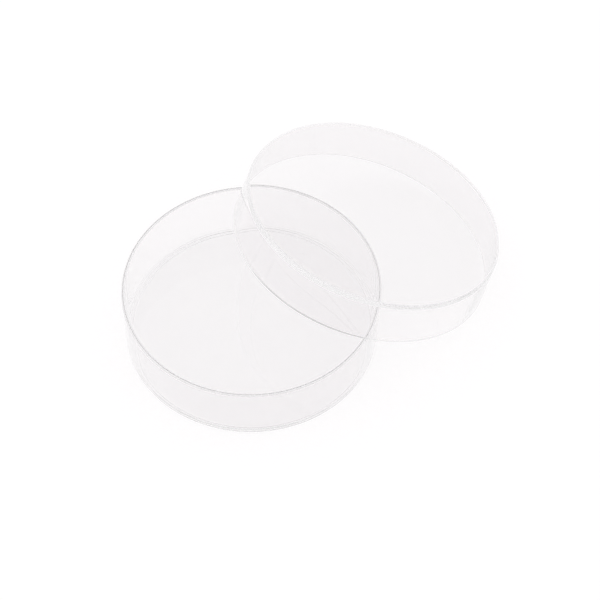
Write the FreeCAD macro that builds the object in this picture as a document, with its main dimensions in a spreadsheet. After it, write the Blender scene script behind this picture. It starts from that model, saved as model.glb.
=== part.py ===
import FreeCAD, Part

import os

import Sketcher

# A round petri dish of the 60 x 15 mm class, in two loose pieces of clear moulded polystyrene:
#   base_dish  a shallow cup that stands open side up, on a narrow ring under its floor
#   lid        a slightly wider, shallower cup, open side down
# The lid leans on the base: its skirt crosses the base's rim at two places, and its low edge
# stands on the same surface as the base.
# Frame, in millimetres: the origin is the centre of the base's foot ring, +Z is up, and +X runs
# from the base's axis towards the low edge of the lid. The part is symmetric about the plane Y = 0.

DOCUMENT_NAME = "PetriDish"
SHEET_NAME = "Sizes"
PARTS_FOLDER = "parts"

# Driving dimensions: alias, value in millimetres or degrees, and what it measures.
SIZES = [
    ("base_height", 15.35, "lower edge of the foot ring to the rim"),
    ("base_rim_radius", 29.0, "outside of the wall at the rim"),
    ("base_foot_radius", 28.45, "outside of the wall, carried down to the floor's underside"),
    ("base_rim_wall", 0.75, "wall at the rim"),
    ("base_foot_wall", 0.85, "wall where it meets the floor"),
    ("base_floor", 0.95, "floor"),
    ("foot_ring_height", 0.25, "foot ring that holds the floor's underside off the bench"),
    ("foot_ring_inside", 26.85, "inside radius of the foot ring where it meets the floor"),
    ("foot_ring_outside", 27.6, "outside radius of the foot ring where it meets the floor"),
    ("foot_ring_draft", 0.05, "inset of each side of the foot ring at its lower edge"),
    ("foot_ring_round", 0.08, "both lower edges of the foot ring"),
    ("base_foot_round", 0.35, "outer edge of the floor's underside"),
    ("base_corner_round", 0.3, "inner corner between floor and wall"),
    ("base_rim_round", 0.35, "both edges of the rim"),
    ("lid_height", 11.0, "edge of the skirt to the top"),
    ("lid_skirt_radius", 30.0, "outside of the skirt at its edge"),
    ("lid_shoulder_radius", 29.75, "outside of the skirt at the foot of the bevel round the top"),
    ("lid_bevel_height", 0.77, "height of that bevel"),
    ("lid_bevel_width", 0.41, "width of that bevel, seen from above"),
    ("lid_skirt_wall", 0.7, "skirt at its edge"),
    ("lid_skirt_slope", 0.085, "rise of the skirt's edge from its outer to its inner side"),
    ("lid_shoulder_wall", 0.45, "skirt where it meets the top plate"),
    ("lid_plate", 1.3, "top plate"),
    ("lid_bevel_foot_round", 0.25, "foot of the bevel"),
    ("lid_bevel_top_round", 0.2, "top of the bevel"),
    ("lid_corner_round", 0.15, "inner corner between top plate and skirt"),
    ("lid_skirt_round", 0.06, "both edges of the skirt"),
    ("lid_tilt", 19.75, "lean of the lid from level, in degrees"),
    ("lid_reach", 29.25, "base axis to the middle of the lid's open end, along X"),
]

# Corners of each piece's half section: radius and height, as expressions in the sheet's aliases.
BASE_CORNERS = [
    ("0", "foot_ring_height"),
    ("foot_ring_inside", "foot_ring_height"),
    ("foot_ring_inside + foot_ring_draft", "0"),
    ("foot_ring_outside - foot_ring_draft", "0"),
    ("foot_ring_outside", "foot_ring_height"),
    ("base_foot_radius", "foot_ring_height"),
    ("base_rim_radius", "base_height"),
    ("base_rim_radius - base_rim_wall", "base_height"),
    ("base_foot_radius - base_foot_wall", "foot_ring_height + base_floor"),
    ("0", "foot_ring_height + base_floor"),
]
LID_CORNERS = [
    ("0", "lid_height - lid_plate"),
    ("lid_shoulder_radius - lid_shoulder_wall", "lid_height - lid_plate"),
    ("lid_skirt_radius - lid_skirt_wall", "lid_skirt_slope"),
    ("lid_skirt_radius", "0"),
    ("lid_shoulder_radius", "lid_height - lid_bevel_height"),
    ("lid_shoulder_radius - lid_bevel_width", "lid_height"),
    ("0", "lid_height"),
]

# Rounded corners of each piece: its corner's place in the list above, and the radius.
BASE_ROUNDS = [
    (2, "foot_ring_round"),
    (3, "foot_ring_round"),
    (5, "base_foot_round"),
    (6, "base_rim_round"),
    (7, "base_rim_round"),
    (8, "base_corner_round"),
]
LID_ROUNDS = [
    (1, "lid_corner_round"),
    (2, "lid_skirt_round"),
    (3, "lid_skirt_round"),
    (4, "lid_bevel_foot_round"),
    (5, "lid_bevel_top_round"),
]

# The lid turns by lid_tilt about Y. Its centre's height sets the skirt's rounded outer edge on
# Z = 0, to within 0.01 mm.
LID_PLACE = {
    "Placement.Base.x": "lid_reach",
    "Placement.Base.z": "( lid_skirt_radius - lid_skirt_round ) * sin( lid_tilt * 1deg )"
    " + lid_skirt_round * (1 - cos( lid_tilt * 1deg ))",
    "Placement.Rotation.Angle": "lid_tilt * 1deg",
}

# Sketcher's own numbers for the origin, the two axes and a line's two ends.
ORIGIN_POINT = (-1, 1)
HORIZONTAL_AXIS = -1
VERTICAL_AXIS = -2
LINE_START = 1
LINE_END = 2

SAME_PLACE = 1e-4  # mm, well under any dimension


def make_sheet(document):
    """The spreadsheet, with one row for each driving dimension."""
    sheet = document.addObject("Spreadsheet::Sheet", SHEET_NAME)
    for row, (alias, value, meaning) in enumerate(SIZES, start=1):
        sheet.set(f"A{row}", alias)
        sheet.set(f"B{row}", str(value))
        sheet.set(f"C{row}", meaning)
        sheet.setAlias(f"B{row}", alias)
    document.recompute()
    return sheet


def in_sheet(expression):
    """The expression with the sheet's name before each alias. Aliases stand between spaces."""
    aliases = {alias for alias, _, _ in SIZES}
    words = expression.split(" ")
    return " ".join(f"{SHEET_NAME}.{word}" if word in aliases else word for word in words)


def hold_corner(sketch, line, axis, direction, expression, name):
    """Holds a line's start on an axis if the expression is 0, or else that far from the origin."""
    if expression == "0":
        sketch.addConstraint(Sketcher.Constraint("PointOnObject", line, LINE_START, axis))
        return
    start = sketch.Geometry[line].StartPoint
    distance = start.x if direction == "DistanceX" else start.y
    index = sketch.addConstraint(
        Sketcher.Constraint(direction, *ORIGIN_POINT, line, LINE_START, distance)
    )
    sketch.renameConstraint(index, name)
    sketch.setExpression(f"Constraints.{name}", in_sheet(expression))


def add_half_section(body, sheet, corners):
    """A closed sketch through the corners, on the body's XZ plane."""
    sketch = body.newObject("Sketcher::SketchObject", f"{body.Name}_section")
    planes = {plane.Role: plane for plane in body.Origin.OriginFeatures}
    sketch.AttachmentSupport = [(planes["XZ_Plane"], "")]
    sketch.MapMode = "FlatFace"
    points = [
        FreeCAD.Vector(*(sheet.evalExpression(in_sheet(place)) for place in corner), 0)
        for corner in corners
    ]
    lines = range(len(points))
    for line in lines:
        following = points[(line + 1) % len(points)]
        sketch.addGeometry(Part.LineSegment(points[line], following))
    for line in lines:
        following = (line + 1) % len(points)
        sketch.addConstraint(
            Sketcher.Constraint("Coincident", line, LINE_END, following, LINE_START)
        )
    for line, (radius, height) in enumerate(corners):
        hold_corner(sketch, line, VERTICAL_AXIS, "DistanceX", radius, f"radius_{line}")
        hold_corner(sketch, line, HORIZONTAL_AXIS, "DistanceY", height, f"height_{line}")
    return sketch


def ring_edge(shape, radius, height):
    """The name of the shape's circular edge about Z with this radius and height."""
    for number, edge in enumerate(shape.Edges, start=1):
        circle = edge.Curve
        if not isinstance(circle, Part.Circle):
            continue
        if abs(circle.Radius - radius) + abs(circle.Center.z - height) < SAME_PLACE:
            return f"Edge{number}"
    raise ValueError(f"no circular edge of radius {radius} at height {height}")


def add_round(body, sheet, corner, radius_alias):
    """A fillet on the circular edge that a corner of the half section makes."""
    document = body.Document
    document.recompute()
    base = body.Tip
    radius, height = (float(sheet.evalExpression(in_sheet(place))) for place in corner)
    edge = ring_edge(base.Shape, radius, height)
    fillet = body.newObject("PartDesign::Fillet", f"{body.Name}_round")
    fillet.Base = (base, [edge])
    fillet.setExpression("Radius", in_sheet(radius_alias))


def make_piece(document, sheet, label, corners, rounds):
    """A cup-shaped piece: its half section turned once about Z, with its corners rounded."""
    body = document.addObject("PartDesign::Body", label)
    body.Label = label
    sketch = add_half_section(body, sheet, corners)
    turned = body.newObject("PartDesign::Revolution", f"{label}_turned")
    turned.Profile = sketch
    turned.ReferenceAxis = (sketch, ["V_Axis"])
    turned.Angle = 360
    sketch.Visibility = False
    for corner, radius_alias in rounds:
        add_round(body, sheet, corners[corner], radius_alias)
    document.recompute()
    return body


def lean_lid(lid):
    """Turns the lid about Y and moves it to where it leans on the base."""
    lid.Placement = FreeCAD.Placement(FreeCAD.Vector(), FreeCAD.Rotation(FreeCAD.Vector(0, 1, 0), 1))
    for place, expression in LID_PLACE.items():
        lid.setExpression(place, in_sheet(expression))
    lid.Document.recompute()


def check(document, pieces):
    """Stops if any object failed or any piece isn't one sound solid."""
    for thing in document.Objects:
        if "Invalid" in thing.State or "Error" in thing.State:
            raise RuntimeError(f"{thing.Name} failed: {thing.State}")
    for piece in pieces:
        shape = piece.Shape
        if shape.isNull() or not shape.isValid() or len(shape.Solids) != 1:
            raise RuntimeError(f"{piece.Label} isn't one sound solid")


def main():
    document = FreeCAD.newDocument(DOCUMENT_NAME)
    sheet = make_sheet(document)
    base = make_piece(document, sheet, "base_dish", BASE_CORNERS, BASE_ROUNDS)
    lid = make_piece(document, sheet, "lid", LID_CORNERS, LID_ROUNDS)
    lean_lid(lid)
    pieces = [base, lid]
    check(document, pieces)
    os.makedirs(PARTS_FOLDER, exist_ok=True)
    for piece in pieces:
        piece.Shape.exportStep(os.path.join(PARTS_FOLDER, f"{piece.Label}.step"))
        print(f"{piece.Label}: {piece.Shape.Volume / 1000:.2f} cm3")


main()
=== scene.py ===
import math

import bmesh
import bpy
from mathutils import Matrix, Vector


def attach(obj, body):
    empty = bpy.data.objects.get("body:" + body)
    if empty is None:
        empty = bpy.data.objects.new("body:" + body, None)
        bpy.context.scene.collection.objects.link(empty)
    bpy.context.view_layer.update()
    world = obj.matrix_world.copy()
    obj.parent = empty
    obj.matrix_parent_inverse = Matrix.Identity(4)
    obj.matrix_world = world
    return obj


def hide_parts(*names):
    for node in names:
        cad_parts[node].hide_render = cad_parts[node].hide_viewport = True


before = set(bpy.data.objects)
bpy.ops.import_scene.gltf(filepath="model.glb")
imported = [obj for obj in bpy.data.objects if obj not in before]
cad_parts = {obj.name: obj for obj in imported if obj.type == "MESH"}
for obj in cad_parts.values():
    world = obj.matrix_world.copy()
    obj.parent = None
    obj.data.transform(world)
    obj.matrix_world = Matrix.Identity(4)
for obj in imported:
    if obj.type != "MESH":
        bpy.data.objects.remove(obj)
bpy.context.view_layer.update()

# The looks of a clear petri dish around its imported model: the open base dish and the lid that
# leans on it. Lengths are in metres and angles in degrees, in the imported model's own frame,
# except where a comment says millimetres.

MM = 0.001

# ---- Sizes of the two pieces, in millimetres ---------------------------------------------------
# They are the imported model's own, apart from the rounding where the foot ring meets the floor,
# which is sharp there.
BASE_HEIGHT = 15.35
BASE_RIM_RADIUS = 29.0
BASE_FOOT_RADIUS = 28.45  # outside of the wall, carried down to the floor's underside
BASE_RIM_WALL = 0.75
BASE_FOOT_WALL = 0.85
BASE_FLOOR = 0.95
BASE_FOOT_ROUND = 0.35
BASE_CORNER_ROUND = 0.3  # inner corner between floor and wall
BASE_RIM_ROUND = 0.35

FOOT_RING_HEIGHT = 0.25
FOOT_RING_INSIDE = 26.85  # both radii are where the ring meets the floor
FOOT_RING_OUTSIDE = 27.6
FOOT_RING_DRAFT = 0.05
FOOT_RING_ROUND = 0.08
FOOT_RING_CORNER_ROUND = 0.03  # where the ring meets the floor

LID_HEIGHT = 11.0
LID_SKIRT_RADIUS = 30.0
LID_SHOULDER_RADIUS = 29.75  # at the foot of the bevel round the top
LID_BEVEL_HEIGHT = 0.77
LID_BEVEL_WIDTH = 0.41
LID_SKIRT_WALL = 0.7
LID_SKIRT_SLOPE = 0.085  # rise of the skirt's edge from its outer to its inner side
LID_SHOULDER_WALL = 0.45
LID_PLATE = 1.3
LID_BEVEL_FOOT_ROUND = 0.25
LID_BEVEL_TOP_ROUND = 0.2
LID_CORNER_ROUND = 0.15  # inner corner between plate and skirt
LID_SKIRT_ROUND = 0.06
LID_TILT = 19.75  # degrees from level
LID_REACH = 29.25  # base axis to the middle of the lid's open end, along X

# ---- Fineness of the meshes --------------------------------------------------------------------
TURN_STEPS = 384
ROUND_STEPS = 10
GUARD = 0.06  # mm from a rounding to the ring that keeps the flat beside it flat

# ---- Polystyrene -------------------------------------------------------------------------------
# A noise's scale is in cycles per metre. A range is the noise's values at which its effect starts
# and at which it is full.
REFRACTIVE_INDEX = 1.59
CLEAR_TINT = (0.969, 0.962, 0.965, 1)
DEEPER_TINT = (0.965, 0.958, 0.962, 1)
TINT_SCALE = 110.0
TINT_RANGE = (0.35, 0.65)

# Darker tint on the roundings: partly scuffing, partly painted shade that dims the bright lines
# light draws along the edges.
SCUFF_AND_SHADE_TINT = (0.93, 0.93, 0.935, 1)
SCUFF_AND_SHADE_SCALE = 700.0
SCUFF_AND_SHADE_DETAIL = 4.0
SCUFF_AND_SHADE_RANGE = (0.35, 0.65)
SCUFF_ROUGHNESS = 0.12

SCRATCH_SCALE = 900.0
ALONG_Y_STRETCH = (1, 0.06, 0.06)
ALONG_Y_RANGE = (0.68, 0.72)
ALONG_X_STRETCH = (0.05, 1, 0.08)
ALONG_X_RANGE = (0.69, 0.73)
SCRATCH_ROUGHNESS = 0.12

WAVE_SCALE = 140.0
RELIEF = 0.0006  # mm, for both the waves and the scratches

DEPTH_COLOUR = (0.5, 0.5, 0.55, 1)
DEPTH_DENSITY = 0.9  # per metre
LIGHT_BOUNCES = 400  # light runs a long way round inside the clear walls before it leaves them

# ---- Floor -------------------------------------------------------------------------------------
FLOOR_SIZE = 6.0
FLOOR_DROP = 0.2  # mm from the dish's foot down to the floor
FLOOR_DARK = 0.19
FLOOR_LIGHT = 0.21
GRAIN_SCALE = 1500.0
GRAIN_DETAIL = 3.0
GRAIN_RANGE = (0.3, 0.7)
GRAIN_ROUGHNESS = (0.6, 0.8)
GRAIN_RELIEF = 0.02  # mm
GLOW_COLOUR = (1, 0.986, 0.992, 1)
# The floor's glow is a painted pool of light, stronger near the dish and fading away from it.
PAINTED_POOL_EDGES = (0.1, 0.5)  # distances from the dish between which the pool of light fades
PAINTED_POOL_GLOWS = (0.872, 0.62)  # strength of its glow inside and outside them

# ---- Surroundings ------------------------------------------------------------------------------
SKY_STRENGTH = 1.0
SKY_TONES = [(0.0, 0.93), (54.5, 0.92), (61.0, 0.56), (90.0, 0.5)]  # elevation and grey
# Azimuth from +X towards +Y, elevation, spread, and strength added to the sky's.
SKY_PATCHES = [(180.0, 12.0, 45.0, 0.15), (110.0, 15.0, 40.0, -0.12)]

# ---- View --------------------------------------------------------------------------------------
VIEW_AZIMUTH = -122.46  # from +X towards +Y
VIEW_ELEVATION = 54.2
VIEW_DISTANCE = 0.8736
VIEW_TARGET = Vector((0.01358, 0.0009, 0.0))
SENSOR = 36.0  # mm
LENS = 230.1  # mm
CLIP_START = 0.01


# ---- Pieces ------------------------------------------------------------------------------------
def rounded(corners):
    """The outline through the corners, with an arc at each rounding.

    A corner is a radius, a height and the radius of its rounding. Each point of the outline is a
    radius, a height and its edge mask for scuffing and painted shade, which is 1 in the middle of
    an arc and 0 off it.
    """
    points = []
    for before, corner, after in zip([None] + corners, corners, corners[1:] + [None]):
        here = Vector(corner[:2])
        if not corner[2]:
            points.append((*here, 0.0))
            continue
        back = (Vector(before[:2]) - here).normalized()
        ahead = (Vector(after[:2]) - here).normalized()
        half = back.angle(ahead) / 2
        reach = corner[2] / math.tan(half)
        centre = here + (back + ahead).normalized() * corner[2] / math.sin(half)
        start = here + back * reach
        sweep = math.pi - 2 * half
        turn = math.copysign(1, back.cross(start - centre))
        points.append((*(start + back * GUARD), 0.0))
        for step in range(ROUND_STEPS + 1):
            spoke = start - centre
            spoke.rotate(Matrix.Rotation(turn * sweep * step / ROUND_STEPS, 2))
            wear_and_shade = math.sin(math.pi * step / ROUND_STEPS)
            points.append((*(centre + spoke), wear_and_shade))
        points.append((*(here + ahead * (reach + GUARD)), 0.0))
    return points


def add_ring(shape, radius, height, wear_and_shade):
    """A ring of vertices about Z, or a single one on the axis. Radius and height are in mm."""
    wear_and_shade_layer = shape.verts.layers.float["wear_and_shade"]
    steps = TURN_STEPS if radius else 1
    ring = []
    for step in range(steps):
        angle = 2 * math.pi * step / steps
        place = Vector((radius * math.cos(angle), radius * math.sin(angle), height))
        vertex = shape.verts.new(place * MM)
        vertex[wear_and_shade_layer] = wear_and_shade
        ring.append(vertex)
    return ring


def turned(name, corners, place):
    """A closed mesh: the rounded outline of a half section turned about Z, then moved by place."""
    shape = bmesh.new()
    shape.verts.layers.float.new("wear_and_shade")
    rings = [add_ring(shape, *point) for point in rounded(corners)]
    for lower, upper in zip(rings, rings[1:]):
        for step in range(TURN_STEPS):
            following = (step + 1) % TURN_STEPS
            around = [
                lower[step % len(lower)],
                lower[following % len(lower)],
                upper[following % len(upper)],
                upper[step % len(upper)],
            ]
            shape.faces.new(list(dict.fromkeys(around)))
    for face in shape.faces:
        face.smooth = True
    shape.transform(place)
    mesh = bpy.data.meshes.new(name)
    shape.to_mesh(mesh)
    shape.free()
    piece = bpy.data.objects.new(name, mesh)
    bpy.context.scene.collection.objects.link(piece)
    return piece


def make_base():
    """The base dish, open side up, on the narrow ring under its floor."""
    floor_top = FOOT_RING_HEIGHT + BASE_FLOOR
    corners = [
        (0, FOOT_RING_HEIGHT, 0),
        (FOOT_RING_INSIDE, FOOT_RING_HEIGHT, FOOT_RING_CORNER_ROUND),
        (FOOT_RING_INSIDE + FOOT_RING_DRAFT, 0, FOOT_RING_ROUND),
        (FOOT_RING_OUTSIDE - FOOT_RING_DRAFT, 0, FOOT_RING_ROUND),
        (FOOT_RING_OUTSIDE, FOOT_RING_HEIGHT, FOOT_RING_CORNER_ROUND),
        (BASE_FOOT_RADIUS, FOOT_RING_HEIGHT, BASE_FOOT_ROUND),
        (BASE_RIM_RADIUS, BASE_HEIGHT, BASE_RIM_ROUND),
        (BASE_RIM_RADIUS - BASE_RIM_WALL, BASE_HEIGHT, BASE_RIM_ROUND),
        (BASE_FOOT_RADIUS - BASE_FOOT_WALL, floor_top, BASE_CORNER_ROUND),
        (0, floor_top, 0),
    ]
    return turned("base_shell", corners, Matrix.Identity(4))


def lid_place():
    """Where the lid leans: turned about Y, with its low edge within 0.01 mm of Z = 0."""
    tilt = math.radians(LID_TILT)
    height = (LID_SKIRT_RADIUS - LID_SKIRT_ROUND) * math.sin(tilt)
    height += LID_SKIRT_ROUND * (1 - math.cos(tilt))
    move = Matrix.Translation((LID_REACH * MM, 0, height * MM))
    return move @ Matrix.Rotation(tilt, 4, "Y")


def make_lid():
    """The lid, open side down, with a bevel round its top."""
    plate_underside = LID_HEIGHT - LID_PLATE
    corners = [
        (0, plate_underside, 0),
        (LID_SHOULDER_RADIUS - LID_SHOULDER_WALL, plate_underside, LID_CORNER_ROUND),
        (LID_SKIRT_RADIUS - LID_SKIRT_WALL, LID_SKIRT_SLOPE, LID_SKIRT_ROUND),
        (LID_SKIRT_RADIUS, 0, LID_SKIRT_ROUND),
        (LID_SHOULDER_RADIUS, LID_HEIGHT - LID_BEVEL_HEIGHT, LID_BEVEL_FOOT_ROUND),
        (LID_SHOULDER_RADIUS - LID_BEVEL_WIDTH, LID_HEIGHT, LID_BEVEL_TOP_ROUND),
        (0, LID_HEIGHT, 0),
    ]
    return turned("lid_shell", corners, lid_place())


# ---- Nodes -------------------------------------------------------------------------------------
def new_material(name):
    """A material with its node tree and its shader."""
    material = bpy.data.materials.new(name)
    material.use_nodes = True
    tree = material.node_tree
    return material, tree, tree.nodes["Principled BSDF"]


def noise(tree, scale, stretch=(1, 1, 1), detail=2.0):
    """Noise in the piece's own space: scale in cycles per metre, times stretch on each axis."""
    place = tree.nodes.new("ShaderNodeTexCoord")
    mapping = tree.nodes.new("ShaderNodeMapping")
    mapping.inputs["Scale"].default_value = stretch
    texture = tree.nodes.new("ShaderNodeTexNoise")
    texture.inputs["Scale"].default_value = scale
    texture.inputs["Detail"].default_value = detail
    tree.links.new(place.outputs["Object"], mapping.inputs["Vector"])
    tree.links.new(mapping.outputs["Vector"], texture.inputs["Vector"])
    return texture.outputs["Fac"]


def remap(tree, value, ends, onto=(0.0, 1.0), smooth=False):
    """Value scaled from the first pair of ends onto the second, and held between them."""
    scaled = tree.nodes.new("ShaderNodeMapRange")
    scaled.interpolation_type = "SMOOTHSTEP" if smooth else "LINEAR"
    for side, end, goal in zip(("Min", "Max"), ends, onto):
        scaled.inputs[f"From {side}"].default_value = end
        scaled.inputs[f"To {side}"].default_value = goal
    tree.links.new(value, scaled.inputs["Value"])
    return scaled.outputs["Result"]


def combine(tree, operation, first, second):
    """First and second put together by one arithmetic operation. Second may be a number."""
    result = tree.nodes.new("ShaderNodeMath")
    result.operation = operation
    tree.links.new(first, result.inputs[0])
    if isinstance(second, (int, float)):
        result.inputs[1].default_value = second
    else:
        tree.links.new(second, result.inputs[1])
    return result.outputs["Value"]


def blend(tree, factor, colour, other):
    """From colour at factor 0 to other at factor 1. Each is a constant or another node's output."""
    mix = tree.nodes.new("ShaderNodeMix")
    mix.data_type = "RGBA"
    tree.links.new(factor, mix.inputs["Factor"])
    for socket, value in ((mix.inputs["A"], colour), (mix.inputs["B"], other)):
        if isinstance(value, tuple):
            socket.default_value = value
        else:
            tree.links.new(value, socket)
    return mix.outputs["Result"]


def bump(tree, height, distance):
    """A bumped normal, in which a height of 1 stands for the distance in millimetres."""
    relief = tree.nodes.new("ShaderNodeBump")
    relief.inputs["Distance"].default_value = distance * MM
    tree.links.new(height, relief.inputs["Height"])
    return relief.outputs["Normal"]


def grey(tone):
    """An opaque grey."""
    return (tone, tone, tone, 1)


def direction(azimuth, elevation):
    """A unit vector. Azimuth is counted from +X towards +Y."""
    azimuth, elevation = math.radians(azimuth), math.radians(elevation)
    return Vector(
        (
            math.cos(azimuth) * math.cos(elevation),
            math.sin(azimuth) * math.cos(elevation),
            math.sin(elevation),
        )
    )


# ---- Materials ---------------------------------------------------------------------------------
def clear_polystyrene():
    """Clear moulded polystyrene: faintly wavy, finely scratched, with scuffs and painted shade on
    its edges.
    """
    material, tree, shader = new_material("clear_polystyrene")
    shader.inputs["Transmission Weight"].default_value = 1.0
    shader.inputs["IOR"].default_value = REFRACTIVE_INDEX

    edge = tree.nodes.new("ShaderNodeAttribute")
    edge.attribute_name = "wear_and_shade"
    patchy = remap(tree, noise(tree, SCUFF_AND_SHADE_SCALE, detail=SCUFF_AND_SHADE_DETAIL), SCUFF_AND_SHADE_RANGE)
    scuffed_and_shaded = combine(tree, "MULTIPLY", edge.outputs["Fac"], patchy)
    along_y = remap(tree, noise(tree, SCRATCH_SCALE, ALONG_Y_STRETCH), ALONG_Y_RANGE)
    along_x = remap(tree, noise(tree, SCRATCH_SCALE, ALONG_X_STRETCH), ALONG_X_RANGE)
    scratched = combine(tree, "MAXIMUM", along_y, along_x)

    uneven = remap(tree, noise(tree, TINT_SCALE), TINT_RANGE)
    colour = blend(tree, uneven, CLEAR_TINT, DEEPER_TINT)
    # The roundings are darkened: partly scuffing, partly painted shade.
    colour = blend(tree, scuffed_and_shaded, colour, SCUFF_AND_SHADE_TINT)
    tree.links.new(colour, shader.inputs["Base Color"])

    scuff_rough = combine(tree, "MULTIPLY", scuffed_and_shaded, SCUFF_ROUGHNESS)
    scratch_rough = combine(tree, "MULTIPLY", scratched, SCRATCH_ROUGHNESS)
    rough = combine(tree, "MAXIMUM", scuff_rough, scratch_rough)
    tree.links.new(rough, shader.inputs["Roughness"])

    height = combine(tree, "SUBTRACT", noise(tree, WAVE_SCALE), scratched)
    tree.links.new(bump(tree, height, RELIEF), shader.inputs["Normal"])

    depth = tree.nodes.new("ShaderNodeVolumeAbsorption")
    depth.inputs["Color"].default_value = DEPTH_COLOUR
    depth.inputs["Density"].default_value = DEPTH_DENSITY
    tree.links.new(depth.outputs["Volume"], tree.nodes["Material Output"].inputs["Volume"])
    return material


def pale_floor():
    """A pale matt sheet with a faint grain, in a painted pool of light that dims away from the
    dish.
    """
    material, tree, shader = new_material("pale_floor")
    shader.inputs["Specular IOR Level"].default_value = 0.0
    shader.inputs["Emission Color"].default_value = GLOW_COLOUR

    grain = noise(tree, GRAIN_SCALE, detail=GRAIN_DETAIL)
    colour = blend(tree, grain, grey(FLOOR_DARK), grey(FLOOR_LIGHT))
    rough = remap(tree, grain, GRAIN_RANGE, GRAIN_ROUGHNESS)
    tree.links.new(colour, shader.inputs["Base Color"])
    tree.links.new(rough, shader.inputs["Roughness"])
    tree.links.new(bump(tree, grain, GRAIN_RELIEF), shader.inputs["Normal"])

    # Painted pool of light: the glow's strength is set by the distance from the dish.
    place = tree.nodes.new("ShaderNodeNewGeometry")
    distance = tree.nodes.new("ShaderNodeVectorMath")
    distance.operation = "LENGTH"
    tree.links.new(place.outputs["Position"], distance.inputs[0])
    glow = remap(tree, distance.outputs["Value"], PAINTED_POOL_EDGES, PAINTED_POOL_GLOWS, smooth=True)
    tree.links.new(glow, shader.inputs["Emission Strength"])
    return material


# ---- Stage -------------------------------------------------------------------------------------
def make_floor():
    """A wide square just under the dish."""
    half = FLOOR_SIZE / 2
    height = -FLOOR_DROP * MM
    corners = [(x * half, y * half, height) for x, y in ((-1, -1), (1, -1), (1, 1), (-1, 1))]
    mesh = bpy.data.meshes.new("floor")
    mesh.from_pydata(corners, [], [(0, 1, 2, 3)])
    mesh.materials.append(pale_floor())
    floor = bpy.data.objects.new("floor", mesh)
    bpy.context.scene.collection.objects.link(floor)


def sky_patch(tree, place, azimuth, elevation, spread, strength):
    """A soft patch of the sky: strength in the given direction, fading to 0 at spread from it."""
    towards = tree.nodes.new("ShaderNodeVectorMath")
    towards.operation = "DOT_PRODUCT"
    towards.inputs[1].default_value = direction(azimuth, elevation)
    tree.links.new(place, towards.inputs[0])
    ends = (math.cos(math.radians(spread)), 1.0)
    return remap(tree, towards.outputs["Value"], ends, (0.0, strength), smooth=True)


def set_ramp(ramp, stops):
    """Gives a colour ramp these stops, each a position and a grey, in rising order."""
    elements = ramp.color_ramp.elements
    while len(elements) > 1:
        elements.remove(elements[0])
    elements[0].position = stops[0][0]
    elements[0].color = grey(stops[0][1])
    for position, tone in stops[1:]:
        elements.new(position).color = grey(tone)


def make_world():
    """Soft studio surroundings: bright low down, dimmer overhead, with soft patches in them."""
    world = bpy.data.worlds.new("studio")
    bpy.context.scene.world = world
    world.use_nodes = True
    tree = world.node_tree
    background = tree.nodes["Background"]
    place = tree.nodes.new("ShaderNodeTexCoord").outputs["Generated"]

    parts = tree.nodes.new("ShaderNodeSeparateXYZ")
    ramp = tree.nodes.new("ShaderNodeValToRGB")
    set_ramp(ramp, [(math.sin(math.radians(height)), tone) for height, tone in SKY_TONES])
    tree.links.new(place, parts.inputs["Vector"])
    tree.links.new(parts.outputs["Z"], ramp.inputs["Fac"])
    tree.links.new(ramp.outputs["Color"], background.inputs["Color"])

    strength = sky_patch(tree, place, *SKY_PATCHES[0])
    for patch in SKY_PATCHES[1:]:
        strength = combine(tree, "ADD", strength, sky_patch(tree, place, *patch))
    strength = combine(tree, "ADD", strength, SKY_STRENGTH)
    tree.links.new(strength, background.inputs["Strength"])


def make_camera():
    """A camera with a long lens, looking down at the dish."""
    back = direction(VIEW_AZIMUTH, VIEW_ELEVATION)
    data = bpy.data.cameras.new("camera")
    data.lens = LENS
    data.sensor_width = SENSOR
    data.clip_start = CLIP_START
    camera = bpy.data.objects.new("camera", data)
    camera.location = VIEW_TARGET + back * VIEW_DISTANCE
    camera.rotation_euler = back.to_track_quat("Z", "Y").to_euler()
    bpy.context.scene.collection.objects.link(camera)
    bpy.context.scene.camera = camera


def set_light_limits():
    """Lets light turn many times inside the clear walls."""
    cycles = bpy.context.scene.cycles
    cycles.max_bounces = LIGHT_BOUNCES
    cycles.transmission_bounces = LIGHT_BOUNCES
    cycles.glossy_bounces = LIGHT_BOUNCES


polystyrene = clear_polystyrene()
for piece, body, node in ((make_base(), "base", "base_dish"), (make_lid(), "lid", "lid")):
    piece.data.materials.append(polystyrene)
    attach(piece, body)
    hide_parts(node)

make_floor()
make_world()
make_camera()
set_light_limits()
bpy.context.scene.view_settings.view_transform = "Standard"
